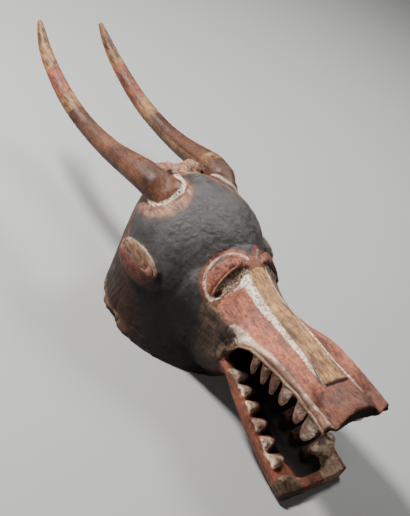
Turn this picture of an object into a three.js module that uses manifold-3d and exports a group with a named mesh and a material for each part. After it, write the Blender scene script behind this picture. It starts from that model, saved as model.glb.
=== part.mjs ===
// A carved wooden helmet mask: a deep head with two long swept horns, small cup ears and
// hooded eyes, and a long snout whose open jaws are lined with teeth. It is one piece of wood,
// hollowed from below for the wearer's head. Millimetres, +Z up; the face looks along -Y.
import * as THREE from "three";
import { mergeVertices } from "three/addons/utils/BufferGeometryUtils.js";
import Module from "manifold-3d";

const wasm = await Module();
wasm.setup();

// Head: a dome over an oval rim, leaning back toward its crown.
const HEAD_HEIGHT = 233;
const HEAD_HALF_LENGTH = 133;
const HEAD_HALF_WIDTH = 128;
const HEAD_MIDDLE = 3;
const CROWN_LEAN = 44;
const CROWN_FLATNESS = 5.7;
const SHOULDER = 1.64;
const PLAN_SQUARENESS = 1.9;
const FRONT_FLARE = 16;
const WAIST = 0.06;
const WALL = 18;
const CUT_DEPTH = 30;

// Snout: the upper jaw, with a ridge down its middle, and the lower jaw under the gape.
const SNOUT_ROOT = 58;
const SNOUT_TIP = 380;
const NOSE_TIP = 371;
const JAW_TIP = 386;
const RIDGE_HEIGHT = 5;
const LIP_HALF_WIDTH = 77;
const LIP_LINE = 68;
const MOUTH_CORNER = 174;

// Mouth: the hollow in the upper jaw, the trough in the lower one, and the throat.
const MOUTH_START = 60;
const MOUTH_END = 368;
const TROUGH_EDGE = 60;
const TROUGH_FRONT = 35;
const THROAT_HALF_WIDTH = 44;

// Nostril slit: a groove across the end of the ridge.
const SLIT_AT = 315;
const SLIT_WIDTH = 5;
const SLIT_HALF_LENGTH = 28;
const SLIT_DEPTH = 9;

// Horns.
const HORN_SPREAD = 78;
const HORN_RADIUS = 26.5;
const KNOB = { long: 32, wide: 34, high: 29 };

// Teeth: six to a side in each jaw. The lower rows aren't spaced alike.
const UPPER_TEETH = [
  { forward: 215, half: 7, length: 41, lean: 7 },
  { forward: 236, half: 8, length: 41, lean: 9 },
  { forward: 258, half: 9, length: 44, lean: 8 },
  { forward: 286, half: 12, length: 45, lean: 2 },
  { forward: 319, half: 12, length: 45, lean: 4 },
  { forward: 351, half: 16, length: 51, lean: -5 },
];
const LOWER_TEETH = {
  right: [205, 226, 250, 276, 302, 331],
  left: [200, 223, 248, 275, 304, 335],
};
const UPPER_TOOTH_SPREAD = { root: 65, tip: 58 };
const UPPER_TOOTH_DEPTH = 9;
const LOWER_TOOTH_ROOT = 69;
const LOWER_TOOTH_END = { right: 33, left: 14 };
const LOWER_TOOTH_HALF = 11.5;
const LOWER_TOOTH_DEPTH = 13;
const STUMP = { forward: 342, left: 53, height: 28, half: 15, depth: 12 };

// Crest between the horns, and the chips in the rim by their turn from the front.
const CREST_LUMPS = [-40, -17, 7, 30];
const CREST_AT = -126;
const CREST_UP = 202;
const CHIPS = [60, 100, 124, 146, 196, 232];

// Eyes: hooded lids over a sunk slit.
const LID_HALF_LENGTH = 42;
const LID_DEPTH = 36;
const LID_RISE = 11;
const EYE_SLIT = { long: 38.6, half: 10.5, depth: 7.5, forward: 0.5, out: 7 };

// Ears: half cups on the sides of the head, hollowed from above. The left one sits higher.
const EAR_HALF_LENGTH = 55.5;
const EAR_HALF_HEIGHT = 32;
const EAR_OUT = 29;
const EAR_HOLLOW = { forward: 7, up: 27, out: 16.5, long: 49, high: 24, wide: 6.5 };
const LEFT_EAR_SHIFT = { forward: 18, out: 3, up: 16 };

// A curve through a few (distance, value) pairs, read at any distance.
function through(...pairs) {
  const curve = new THREE.CubicInterpolant(
    pairs.map((pair) => pair[0]),
    pairs.map((pair) => pair[1]),
    1,
  );
  const first = pairs[0][0];
  const last = pairs[pairs.length - 1][0];
  return (x) => curve.evaluate(THREE.MathUtils.clamp(x, first, last))[0];
}

// The snout's lines, each as height over the distance forward of the rim's middle.
const ridgeTop = through(
  [58, 208], [92, 200], [118, 191], [150, 184], [200, 182], [260, 180], [308, 175], [330, 173], [371, 179],
);
const ridgeHalf = through([58, 17], [100, 14], [200, 15], [280, 18], [312, 26], [345, 30], [371, 31]);
const footHalf = through([58, 24], [100, 20], [200, 21], [280, 24], [312, 30], [340, 45], [371, 51]);
const noseSide = through([58, 0], [300, 0], [315, 1], [345, 9], [371, 16], [386, 17]);
const lipTop = through(
  [58, 158], [107, 147], [140, 139], [167, 137], [187, 145], [208, 153], [236, 164], [275, 168], [386, 168],
);
const lipLine = through([58, 86], [107, 75], [150, 72], [190, 70], [250, LIP_LINE], [386, LIP_LINE]);
const lipEdge = through(
  [58, 115], [140, 108], [174, 108], [187, 129], [205, 142], [228, 148], [260, 153], [310, 157], [350, 154],
  [386, 149],
);
const jawTop = through(
  [58, 80], [140, 88], [175, 90], [190, 90], [228, 73], [268, 55], [316, 35], [345, 27], [386, 12],
);
const jawEdge = through(
  [58, 45], [120, 52], [160, 68], [190, 74], [228, 54], [266, 38], [303, 24], [345, 12], [386, 4],
);
const jawBelly = through([58, 44], [120, 50], [148, 58], [172, 38], [200, 17], [270, 14], [330, 8], [386, 0]);
const cheekHalf = through([58, 97], [100, 83], [130, 79], [165, 75], [195, 76], [386, LIP_HALF_WIDTH]);
const troughFloor = through([60, 66], [150, 68], [190, 62], [230, 46], [270, 32], [330, 15], [368, 11]);
const palate = through([60, 116], [150, 128], [200, 146], [250, 162], [310, 163], [340, 152], [368, 149]);

// A point from its distance forward, its distance toward the mask's left, and its height.
function place(forward, left, up) {
  return new THREE.Vector3(left, -forward, up);
}

// A closed solid from a three.js geometry.
function solid(geometry) {
  const bare = new THREE.BufferGeometry();
  bare.setAttribute("position", geometry.getAttribute("position").clone());
  if (geometry.index) {
    bare.setIndex(geometry.index.clone());
  }
  const merged = mergeVertices(bare, 1e-3);
  const corners = merged.index.array;
  const kept = [];
  for (let i = 0; i < corners.length; i += 3) {
    const [a, b, c] = [corners[i], corners[i + 1], corners[i + 2]];
    if (a !== b && b !== c && c !== a) {
      kept.push(a, b, c);
    }
  }
  const points = new Float32Array(merged.attributes.position.array);
  const made = new wasm.Manifold(
    new wasm.Mesh({ numProp: 3, vertProperties: points, triVerts: new Uint32Array(kept) }),
  );
  if (made.volume() > 0) {
    return made;
  }
  const turned = new Uint32Array(kept.reverse());
  return new wasm.Manifold(new wasm.Mesh({ numProp: 3, vertProperties: points, triVerts: turned }));
}

// The geometry of a finished solid.
function geometryOf(manifold) {
  const mesh = manifold.getMesh();
  const geometry = new THREE.BufferGeometry();
  geometry.setAttribute("position", new THREE.BufferAttribute(mesh.vertProperties, 3));
  geometry.setIndex(new THREE.BufferAttribute(mesh.triVerts, 1));
  geometry.computeVertexNormals();
  return geometry;
}

// A closed tube made from a cylinder: its vertices go to section(turn, along), with turn
// from 0 to 1 around it and along from 0 to 1 down it, and its end caps to each end's middle.
function loft(around, along, section) {
  const geometry = new THREE.CylinderGeometry(1, 1, 1, around, along);
  const position = geometry.getAttribute("position");
  for (let i = 0; i < position.count; i += 1) {
    const x = position.getX(i);
    const z = position.getZ(i);
    const t = position.getY(i) + 0.5;
    let point;
    if (Math.hypot(x, z) < 0.5) {
      point = section(0, t).clone().lerp(section(0.5, t), 0.5);
    } else {
      const turn = Math.atan2(x, z) / (2 * Math.PI);
      point = section(turn < -1e-6 ? turn + 1 : Math.max(turn, 0), t);
    }
    position.setXYZ(i, point.x, point.y, point.z);
  }
  return solid(geometry);
}

// A tube along the snout whose outline is the same on both sides. half(distance) lists one
// side's points from the top to the bottom as [across, height].
function sideToSide(start, end, along, half, shift) {
  const steps = half(start).length - 1;
  return loft(steps * 2, along, (turn, t) => {
    const spot = Math.round(turn * steps * 2) % (steps * 2);
    const side = spot <= steps ? -1 : 1;
    const distance = THREE.MathUtils.lerp(start, end, t);
    const [across, height] = half(distance)[spot <= steps ? spot : steps * 2 - spot];
    return place(shift(distance, across, height), side * across, height);
  });
}

// The dome's surface for an inset from the outside; turn goes round it, and rise up it.
function dome(inset) {
  const height = HEAD_HEIGHT - inset;
  const rows = inset > 0 ? 9 : 15;
  const around = inset > 0 ? 24 : 40;
  const floor = inset > 0 ? -CUT_DEPTH : 0;
  const geometry = new THREE.SphereGeometry(1, around, rows + 3);
  const position = geometry.getAttribute("position");
  const base = (Math.PI * rows) / (rows + 3);
  for (let i = 0; i < position.count; i += 1) {
    const polar = Math.acos(THREE.MathUtils.clamp(position.getY(i), -1, 1));
    const turn = Math.atan2(position.getZ(i), position.getX(i));
    const level = Math.min(polar / base, 1);
    const rise = Math.cos((level * Math.PI) / 2) ** 0.7;
    const under = polar > base ? (Math.PI - polar) / (Math.PI - base) : 1;
    const reach = (1 - rise ** CROWN_FLATNESS) ** (1 / SHOULDER) * under;
    const body = 1 - WAIST * Math.sin(Math.PI * rise);
    const power = 2 / PLAN_SQUARENESS;
    const cos = Math.cos(turn);
    const sin = Math.sin(turn);
    const long = Math.sign(cos) * Math.abs(cos) ** power * (HEAD_HALF_LENGTH - inset);
    const wide = Math.sign(sin) * Math.abs(sin) ** power * (HEAD_HALF_WIDTH - inset);
    const flare = FRONT_FLARE * Math.max(cos, 0) ** 8 * (1 - rise) ** 3 * (polar > base ? 0 : 1);
    const middle = HEAD_MIDDLE - CROWN_LEAN * rise + flare;
    const up = floor + rise * (height - floor);
    const point = place(middle + long * reach * body, -wide * reach * body, up);
    position.setXYZ(i, point.x, point.y, point.z);
  }
  return solid(geometry);
}

// The snout's outline at a distance forward, with the gape still closed.
function snoutSide(distance) {
  const top = ridgeTop(distance);
  const near = footHalf(distance);
  const foot = top - RIDGE_HEIGHT - noseSide(distance);
  const lip = lipLine(distance);
  const field = lipTop(distance);
  const cheek = cheekHalf(distance);
  const edge = lipEdge(distance);
  const jaw = jawTop(distance);
  const low = jawEdge(distance);
  const belly = jawBelly(distance);
  return [
    [0, top],
    [ridgeHalf(distance) * 0.5, top - 0.3],
    [ridgeHalf(distance), top - 1.5 - noseSide(distance) * 0.25],
    [near, foot],
    [near + (lip - near) * 0.33, foot + (field - foot) * 0.3 - 1],
    [near + (lip - near) * 0.67, foot + (field - foot) * 0.62 - 1],
    [lip, field],
    [lip + (cheek - lip) * 0.6, field - (field - edge) * 0.25],
    [cheek + 0.5, field - (field - edge) * 0.7],
    [cheek + 1, edge],
    [cheek, (edge + jaw) / 2],
    [cheek, jaw],
    [cheek, (jaw + low) / 2],
    [cheek - 4, low],
    [cheek * 0.75, low - belly * 0.5],
    [cheek * 0.4, low - belly * 0.92],
    [0, low - belly],
  ];
}

// How far each height of the snout reaches at its front.
const reach = through([0, JAW_TIP], [60, JAW_TIP], [120, SNOUT_TIP], [150, SNOUT_TIP], [180, NOSE_TIP]);
function snoutShift(distance, across, height) {
  const free = 300;
  if (distance <= free) {
    return distance;
  }
  const corner = 4 * (across / LIP_HALF_WIDTH) ** 6;
  const tip = reach(height) - corner;
  return free + ((distance - free) * (tip - free)) / (JAW_TIP - free);
}

// The gape: everything between the lip's edge and the lower jaw's, right through the snout.
function gape() {
  const outline = new THREE.Shape();
  outline.moveTo(-MOUTH_CORNER, 100);
  const upper = [];
  const lower = [];
  for (const distance of [180, 187, 196, 208, 222, 240, 265, 300, 350, 420]) {
    upper.push(new THREE.Vector2(-distance, lipEdge(distance)));
  }
  for (const distance of [420, 350, 300, 265, 230, 200, 184, 176]) {
    lower.push(new THREE.Vector2(-distance, jawTop(distance)));
  }
  upper.forEach((point) => outline.lineTo(point.x, point.y));
  lower.forEach((point) => outline.lineTo(point.x, point.y));
  outline.closePath();
  const half = LIP_HALF_WIDTH + CUT_DEPTH;
  const cut = new THREE.ExtrudeGeometry(outline, { depth: half * 2, bevelEnabled: false });
  cut.applyMatrix4(new THREE.Matrix4().set(0, 0, 1, -half, 1, 0, 0, 0, 0, 1, 0, 0, 0, 0, 0, 1));
  return solid(cut);
}

// The mouth's outline at a distance forward, from the palate down to the trough.
function mouthSide(distance) {
  const throat = THREE.MathUtils.smoothstep(distance, 130, 190);
  const front = THREE.MathUtils.smoothstep(distance, 325, 350);
  const full = THREE.MathUtils.lerp(THROAT_HALF_WIDTH, TROUGH_EDGE, throat);
  const wide = THREE.MathUtils.lerp(full, TROUGH_FRONT, front);
  const low = troughFloor(distance);
  const high = palate(distance);
  const jaw = THREE.MathUtils.lerp(low + 14, jawTop(distance) + 0.5, throat);
  const edge = THREE.MathUtils.lerp(high - 12, lipEdge(distance) - 0.5, throat);
  const roof = Math.max(high, edge + 0.5);
  return [
    [0, roof],
    [wide * 0.6, roof],
    [wide, edge],
    [wide + 4, edge - 8],
    [wide + 4, (edge + jaw) / 2],
    [wide + 4, jaw + 6],
    [wide, jaw],
    [wide * 0.5, low + 3],
    [0, low],
  ];
}

// A ball stretched along three directions about a centre; bend(point) may move the unit
// ball's points first.
function ball(centre, along, across, out, rings, bend) {
  const geometry = new THREE.SphereGeometry(1, rings * 2, rings);
  const position = geometry.getAttribute("position");
  for (let i = 0; i < position.count; i += 1) {
    const unit = new THREE.Vector3().fromBufferAttribute(position, i);
    const spot = bend ? bend(unit) : unit;
    const point = centre.clone();
    point.addScaledVector(along, spot.x);
    point.addScaledVector(out, spot.y);
    point.addScaledVector(across, spot.z);
    position.setXYZ(i, point.x, point.y, point.z);
  }
  return solid(geometry);
}

// The same solid on the mask's other side.
function mirrored(point, side) {
  return new THREE.Vector3(point.x * side, point.y, point.z);
}

// A round bar from one point to another that swells or tapers: girth(t) scales its half
// sizes, wide across the mask and long along it.
function bar(from, to, wide, long, around, along, girth) {
  const axis = to.clone().sub(from).normalize();
  const across = new THREE.Vector3(1, 0, 0).addScaledVector(axis, -axis.x).normalize();
  const other = new THREE.Vector3().crossVectors(across, axis).normalize();
  return loft(around, along, (turn, t) => {
    const angle = turn * 2 * Math.PI;
    const point = from.clone().lerp(to, t);
    point.addScaledVector(other, Math.cos(angle) * long * girth(t));
    return point.addScaledVector(across, Math.sin(angle) * wide * girth(t));
  });
}

// One horn, swept back and slightly down from the rear of the crown, with a knob at its root.
function horn(side) {
  const line = new THREE.CatmullRomCurve3([
    place(-66, 60, 193),
    place(-88, 69, 203),
    place(-118, 76, 205),
    place(-159, HORN_SPREAD, 196),
    place(-213, HORN_SPREAD + 1, 184),
    place(-280, HORN_SPREAD + 1, 178),
    place(-350, HORN_SPREAD, 182),
    place(-410, HORN_SPREAD - 2, 195),
    place(-460, HORN_SPREAD - 5, 212),
    place(-504, HORN_SPREAD - 11, 237),
  ]);
  const thickness = through(
    [0, 0.95], [0.06, 1], [0.1, 1], [0.24, 0.8], [0.42, 0.62], [0.65, 0.55], [0.85, 0.44], [0.96, 0.29],
    [1, 0.17],
  );
  const shaft = loft(12, 17, (turn, t) => {
    const along = t ** 0.9;
    const point = line.getPointAt(along);
    const heading = line.getTangentAt(along);
    const sideways = new THREE.Vector3(1, 0, 0).cross(heading).normalize();
    const across = new THREE.Vector3().crossVectors(heading, sideways).normalize();
    const radius = HORN_RADIUS * thickness(along);
    const angle = side * turn * 2 * Math.PI;
    point.addScaledVector(sideways, Math.cos(angle) * radius);
    point.addScaledVector(across, Math.sin(angle) * radius);
    return mirrored(point, side);
  });
  const knob = ball(
    place(-75, 55 * side, 199),
    new THREE.Vector3(KNOB.wide, 0, 0),
    new THREE.Vector3(0, KNOB.long, 0),
    new THREE.Vector3(0, 0, KNOB.high),
    7,
  );
  return shaft.add(knob);
}

// One upper tooth, hanging inside the lip and leaning forward.
function upperTooth(side, tooth) {
  const edge = lipEdge(tooth.forward);
  const root = place(tooth.forward, side * UPPER_TOOTH_SPREAD.root, edge + 5);
  const tip = place(tooth.forward + tooth.lean, side * UPPER_TOOTH_SPREAD.tip, edge - tooth.length);
  return bar(root, tip, UPPER_TOOTH_DEPTH, tooth.half, 8, 4, (t) => 1 - 0.2 * t - 0.4 * t ** 5);
}

// One lower tooth: a thick peg lying down the inner side of the jaw, its top above the edge.
function lowerTooth(side, forward) {
  const reach = LOWER_TOOTH_END[side < 0 ? "right" : "left"];
  const edge = jawTop(forward);
  const grown = THREE.MathUtils.mapLinear(forward, 200, 335, 0.85, 1.1);
  const root = place(forward + 1, side * LOWER_TOOTH_ROOT, edge - 2);
  const end = place(forward - 1, side * reach, Math.max(edge - 15, 17));
  const wide = LOWER_TOOTH_DEPTH * grown;
  const long = LOWER_TOOTH_HALF * grown;
  return bar(root, end, wide, long, 8, 5, (t) => 1 - 0.32 * t ** 6);
}

// In front of the left row a stump stands up from the jaw.
function stump() {
  const edge = jawTop(STUMP.forward);
  const foot = place(STUMP.forward, STUMP.left, edge - 8);
  const top = place(STUMP.forward - 4, STUMP.left - 2, edge + STUMP.height);
  return bar(foot, top, STUMP.depth, STUMP.half, 8, 3, (t) => 1 - 0.1 * t - 0.3 * t ** 5);
}

// One eye: a hooded lid, thick along its lower edge, and the sunk slit under it.
const eyeAlong = place(12, 54, -53).normalize();
const eyeOut = place(0.5, 0.42, 0.76).normalize();
const eyeBack = new THREE.Vector3().crossVectors(eyeAlong, eyeOut).normalize();
const eyeMiddle = place(97, 45, 172);
function lid(side) {
  const across = eyeBack.clone().multiplyScalar(eyeBack.y > 0 ? LID_DEPTH : -LID_DEPTH);
  return ball(
    mirrored(eyeMiddle, side),
    mirrored(eyeAlong, side).multiplyScalar(side * LID_HALF_LENGTH),
    mirrored(across, side),
    mirrored(eyeOut, side).multiplyScalar(LID_RISE),
    8,
    (unit) => new THREE.Vector3(unit.x, unit.y, unit.z < 0 ? unit.z * 0.12 : unit.z),
  );
}
function slit(side) {
  const across = eyeBack.clone().multiplyScalar(eyeBack.y > 0 ? -1 : 1);
  const centre = eyeMiddle.clone().addScaledVector(across, EYE_SLIT.forward).addScaledVector(eyeOut, EYE_SLIT.out);
  return ball(
    mirrored(centre, side),
    mirrored(eyeAlong, side).multiplyScalar(side * EYE_SLIT.long),
    mirrored(across, side).multiplyScalar(EYE_SLIT.half),
    mirrored(eyeOut, side).multiplyScalar(EYE_SLIT.depth),
    6,
  );
}

// One ear: a half egg on the side of the head, its upper face scooped out to a thin rim.
function ear(side) {
  const shift = side > 0 ? LEFT_EAR_SHIFT : { forward: 0, out: 0, up: 0 };
  const rear = place(-81 + shift.forward, 96 + shift.out, 97 + shift.up);
  const front = place(30 + shift.forward, 111 + shift.out, 125 + shift.up);
  const along = front.clone().sub(rear).normalize();
  const upright = place(0.05, 0.2, 1);
  const up = upright.clone().addScaledVector(along, -along.dot(upright)).normalize();
  const out = new THREE.Vector3().crossVectors(along, up).normalize();
  if (out.x < 0) {
    out.negate();
  }
  const centre = rear.clone().add(front).multiplyScalar(0.5);
  const shell = ball(
    mirrored(centre, side),
    mirrored(along, side).multiplyScalar(EAR_HALF_LENGTH),
    mirrored(up, side).multiplyScalar(EAR_HALF_HEIGHT),
    mirrored(out, side).multiplyScalar(EAR_OUT),
    9,
  );
  const hollow = centre.clone().addScaledVector(up, EAR_HOLLOW.up).addScaledVector(out, EAR_HOLLOW.out);
  hollow.addScaledVector(along, EAR_HOLLOW.forward);
  const scoop = ball(
    mirrored(hollow, side),
    mirrored(along, side).multiplyScalar(EAR_HOLLOW.long),
    mirrored(up, side).multiplyScalar(EAR_HOLLOW.high),
    mirrored(out, side).multiplyScalar(EAR_HOLLOW.wide),
    7,
  );
  return shell.subtract(scoop);
}

// The worn, lumpy crest across the back of the crown, between the horns.
function crest() {
  const lumps = CREST_LUMPS.map((left, i) =>
    ball(
      place(CREST_AT - (i % 2) * 5, left, CREST_UP - (i % 3) * 2),
      new THREE.Vector3(22, 0, 0),
      new THREE.Vector3(0, 19, 0),
      new THREE.Vector3(0, 0, 17 - (i % 2) * 3),
      5,
    ),
  );
  return lumps.reduce((sum, lump) => sum.add(lump));
}

// Chips broken out of the rim, mostly toward its rear.
function chips() {
  const cuts = CHIPS.map((degrees, i) => {
    const angle = THREE.MathUtils.degToRad(degrees);
    const forward = HEAD_MIDDLE + Math.cos(angle) * (HEAD_HALF_LENGTH - 4);
    const left = -Math.sin(angle) * (HEAD_HALF_WIDTH - 4);
    return ball(
      place(forward, left, -3),
      new THREE.Vector3(14 + (i % 2) * 6, 0, 0),
      new THREE.Vector3(0, 16 + (i % 3) * 5, 0),
      new THREE.Vector3(0, 0, 8 + (i % 2) * 3),
      4,
    );
  });
  return cuts.reduce((sum, cut) => sum.add(cut));
}

// The slit across the end of the ridge.
function nostril() {
  const groove = new THREE.BoxGeometry(SLIT_HALF_LENGTH * 2, SLIT_WIDTH, SLIT_DEPTH * 2);
  groove.rotateX(THREE.MathUtils.degToRad(-12));
  groove.translate(0, -SLIT_AT, ridgeTop(SLIT_AT));
  return solid(groove);
}

const sides = [-1, 1];
const snout = sideToSide(SNOUT_ROOT, JAW_TIP, 22, snoutSide, snoutShift);
const mouth = sideToSide(MOUTH_START, MOUTH_END, 14, mouthSide, (distance) => distance);
let carving = dome(0).add(snout.subtract(gape())).add(crest());
for (const side of sides) {
  carving = carving.add(horn(side)).add(lid(side)).add(ear(side));
}
carving = carving.subtract(dome(WALL)).subtract(mouth).subtract(nostril()).subtract(chips());
for (const side of sides) {
  carving = carving.subtract(slit(side));
  for (const tooth of UPPER_TEETH) {
    carving = carving.add(upperTooth(side, tooth));
  }
  for (const forward of LOWER_TEETH[side < 0 ? "right" : "left"]) {
    carving = carving.add(lowerTooth(side, forward));
  }
}
carving = carving.add(stump());

const mask = new THREE.Mesh(
  geometryOf(carving),
  new THREE.MeshStandardMaterial({ color: 0x4a342b, roughness: 0.8, metalness: 0 }),
);
mask.name = "mask";

// The mask stands on its rim, with the middle of its length over the origin.
mask.geometry.computeBoundingBox();
const { min, max } = mask.geometry.boundingBox;
mask.position.set(-(min.x + max.x) / 2, -(min.y + max.y) / 2, -min.z);

const group = new THREE.Group();
group.add(mask);
export default group;
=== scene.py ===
# Looks of a carved helmet mask: one piece of wood, cut smooth from the imported solid, with its
# carving, wear, old paint and some painted shade. Lengths are in metres. A place on the mask is
# told as its distance forward of the rim's middle, toward the mask's left, and up from the rim.
import math

import bpy
import numpy as np
from mathutils import Matrix, Vector


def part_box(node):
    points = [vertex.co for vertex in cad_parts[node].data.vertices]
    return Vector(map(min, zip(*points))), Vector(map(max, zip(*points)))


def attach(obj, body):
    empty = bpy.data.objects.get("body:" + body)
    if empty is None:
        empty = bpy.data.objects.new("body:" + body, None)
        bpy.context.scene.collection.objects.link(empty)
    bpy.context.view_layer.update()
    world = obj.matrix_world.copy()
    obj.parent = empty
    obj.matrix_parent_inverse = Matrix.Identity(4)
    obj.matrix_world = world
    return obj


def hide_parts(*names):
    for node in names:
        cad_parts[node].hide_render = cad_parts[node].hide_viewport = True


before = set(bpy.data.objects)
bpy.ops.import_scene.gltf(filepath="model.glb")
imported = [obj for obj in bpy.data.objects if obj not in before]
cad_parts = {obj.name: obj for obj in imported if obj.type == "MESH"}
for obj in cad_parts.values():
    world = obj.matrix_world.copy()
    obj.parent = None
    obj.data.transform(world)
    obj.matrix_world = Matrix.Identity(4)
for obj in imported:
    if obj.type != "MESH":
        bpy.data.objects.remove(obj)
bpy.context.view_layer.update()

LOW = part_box("mask")[0]
SCENE = bpy.context.scene

# Driving sizes of the carving.
JAW_REACH = 0.386
VOXEL = 0.0024
MERGE_REACH = 0.00001
MOST_TRIANGLES = 196000
SMOOTHING_ROUNDS = 24
TEMPLE_ROUNDS = 45
HEAD_MIDDLE = (-0.02, 0.0, 0.09)
SKULL_MIDDLE = 0.003
SKULL_LEAN, SKULL_LEAN_HEIGHT = 0.044, 0.233
SKULL_HALF_LENGTH, SKULL_HEIGHT = 0.128, 0.236
LID_HALF_LENGTH = 0.042
LID_DEPTH = 0.036
LID_MEAN = 0.038
LID_REACH = 0.03
EYE = (0.097, 0.045, 0.172)
EYE_ALONG = (0.012, 0.054, -0.053)
EYE_OUT = (0.5, 0.42, 0.76)
EAR = (-0.0255, 0.1035, 0.111)
EAR_ALONG = (0.111, 0.015, 0.028)
EAR_UPRIGHT = (0.05, 0.2, 1.0)
EAR_HALVES = (0.0555, 0.032, 0.029)
LEFT_EAR_SHIFT = (0.018, 0.003, 0.016)
SCOOP = (0.007, 0.027, 0.0165)
SCOOP_HALVES = (0.049, 0.024, 0.0065)
LENS_HALVES = (0.0386, 0.0105, 0.0075)
LENS_FORWARD = 0.0005
LENS_OUT = 0.007
KNOB = (-0.075, 0.055, 0.199)
KNOB_RADIUS = 0.0315
SLIT = 0.315
RIDGE_START = 0.1
RIDGE_UP = 0.14
TOP_START = 0.095
TOP_UP = 0.13

# Lines along the snout, as pairs of a distance forward and a distance to the side. The far
# lip's cream runs straight.
RIDGE_FOOT = (
    (0.058, 0.024), (0.1, 0.02), (0.2, 0.021), (0.28, 0.024), (0.312, 0.03), (0.34, 0.045), (0.371, 0.051),
)
LIP_SIDE = ((0.107, 0.075), (0.15, 0.072), (0.19, 0.07), (0.25, 0.068), (0.39, 0.068))
FOOT_WHITE = (
    (0.1, 0.0255), (0.13, 0.0245), (0.167, 0.024), (0.207, 0.0255), (0.251, 0.0265), (0.28, 0.0265),
    (0.3, 0.026),
)
FAR_FOOT_WHITE = (
    (0.1, 0.023), (0.243, 0.022), (0.273, 0.0255), (0.305, 0.033), (0.334, 0.044), (0.375, 0.041),
)
LIP_CREAM = ((0.155, 0.068), (0.2, 0.068), (0.22, 0.069), (0.335, 0.069), (0.35, 0.063))
FAR_LIP_CREAM = 0.07

# Edges of the jaws, each as pairs of a distance forward and a height.
LIP_EDGE = (
    (0.058, 0.115), (0.14, 0.108), (0.174, 0.108), (0.187, 0.129), (0.205, 0.142), (0.228, 0.148),
    (0.26, 0.153), (0.31, 0.157), (0.35, 0.154), (0.386, 0.149),
)
JAW_TOP = (
    (0.14, 0.088), (0.19, 0.09), (0.228, 0.073), (0.268, 0.055), (0.316, 0.035), (0.345, 0.027),
    (0.386, 0.012),
)

# Half widths of painted lines: fixed, or as pairs of a distance forward and a half width.
FOOT_WHITE_HALF = (
    (0.1, 0.007), (0.115, 0.0074), (0.135, 0.006), (0.2, 0.0054), (0.25, 0.0046), (0.285, 0.0036),
    (0.305, 0.001), (0.31, -0.004),
)
LIP_CREAM_HALF = (
    (0.155, 0.004), (0.168, 0.0075), (0.185, 0.007), (0.205, 0.004), (0.24, 0.0024), (0.3, 0.002),
    (0.33, 0.003), (0.35, 0.005), (0.375, 0.007),
)
FAR_FOOT_HALF = 0.0032
FAR_LIP_HALF = 0.0025
ARCH_HALF = 0.0017
UNDER_EYE_HALF = 0.0034
COLLAR_HALF, COLLAR_SPREAD = 0.003, 0.0015
FAR_COLLAR_HALF = 0.0036
CHEEK_HALF = 0.0062

# The black patina's rear edge, as pairs of a height and a distance forward.
PATINA_REAR = ((0.0, 0.06), (0.06, 0.02), (0.1, -0.05), (0.15, -0.09), (0.2, -0.1))

# The cream on the upper teeth, as pairs of a distance forward and a paint field in millimetres.
UPPER_TEETH_CREAM = (
    (0.2, 0.0), (0.275, 0.3), (0.285, 4.0), (0.305, 4.0), (0.315, 0.0), (0.33, 0.0), (0.34, 4.0),
)

# Paint bands on the near and the far horn, as distances behind the rim's middle.
HORN_RING = (0.332, 0.316)
HORN_RING_HALF = (0.017, 0.021)
HORN_TIP = (0.41, 0.422)

# Lines and marks cut, painted or worn on the surface.
UNDER_EYE = ((0.106, 0.073, 0.152), (0.112, 0.053, 0.166), (0.112, 0.038, 0.177), (0.106, 0.024, 0.188))
CHEEK_CREAM = ((0.158, -0.073, 0.138), (0.172, -0.072, 0.138), (0.186, -0.07, 0.145), (0.2, -0.069, 0.151))
MOUTH_CORNER = ((0.176, 0.075, 0.128), (0.168, 0.075, 0.116), (0.164, 0.075, 0.104), (0.166, 0.075, 0.09))
NEAR_COLLAR = (
    (-0.083, 0.089, 0.186), (-0.072, 0.09, 0.19), (-0.062, 0.0895, 0.1945), (-0.0565, 0.0835, 0.203),
    (-0.053, 0.076, 0.211), (-0.055, 0.066, 0.219), (-0.059, 0.054, 0.223), (-0.074, 0.038, 0.225),
    (-0.11, 0.024, 0.212),
)
FAR_COLLAR = (
    (-0.112, 0.044, 0.214), (-0.089, 0.043, 0.222), (-0.067, 0.049, 0.227), (-0.054, 0.067, 0.219),
    (-0.056, 0.085, 0.206), (-0.064, 0.095, 0.198),
)
RIM_SCRATCHES = (
    ((0.024, -0.122, 0.027), (0.033, -0.12, 0.022)),
    ((0.038, -0.118, 0.026), (0.050, -0.114, 0.02)),
    ((0.010, -0.125, 0.03), (0.017, -0.125, 0.021)),
)
SCRATCH_HALF, SCRATCH_DEPTH = 0.0016, 0.0014
HEAD_CRACK = ((-0.012, -0.03, 0.229), (0.006, -0.024, 0.227), (0.022, -0.013, 0.225))
CRACK_HALF, CRACK_DEPTH = 0.0016, 0.0012
CROWN_PIT = (-0.088, 0.0, 0.224)
TEMPLE = (
    (0.062, 0.072, 0.17), (0.066, 0.079, 0.16), (0.0685, 0.087, 0.15), (0.0718, 0.0897, 0.139),
    (0.073, 0.093, 0.126),
)

# Relief in the wood: how large its lumps are, how deep, and the seed of its noise. The rim's
# tears, splinters and steps have their depth or height on its own.
ADZE_FACETS = (0.03, 0.0007, 1)
TOOL_RIPPLES = ((0.009, 0.012, 0.007), 0.00022, 2)
PATINA_LUMPS = ((0.0046, 0.006, 0.004), 0.00055, 3)
SNOUT_FACETS = ((0.03, 0.012, 0.012), 0.0006, 5)
SNOUT_GRAIN = (0.006, 0.0003, 6)
CREST_LUMPS = (0.008, 0.0017, 8)
CREST_GRAIN = (0.0045, 0.0008, 9)
HORN_FACETS = ((0.05, 0.012, 0.012), 0.0004, 10)
RIDGE_GRAIN = ((0.03, 0.0035, 0.0035), 0.0005, 12)
SLIT_CRUST = (0.004, 0.0005, 13)
TORN_RIM = ((0.012, 0.012, 0.02), 4)
TORN_DEPTH = 0.0055
SPLINTERS = ((0.005, 0.005, 0.014), 11)
SPLINTER_DEPTH = 0.0018
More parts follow.
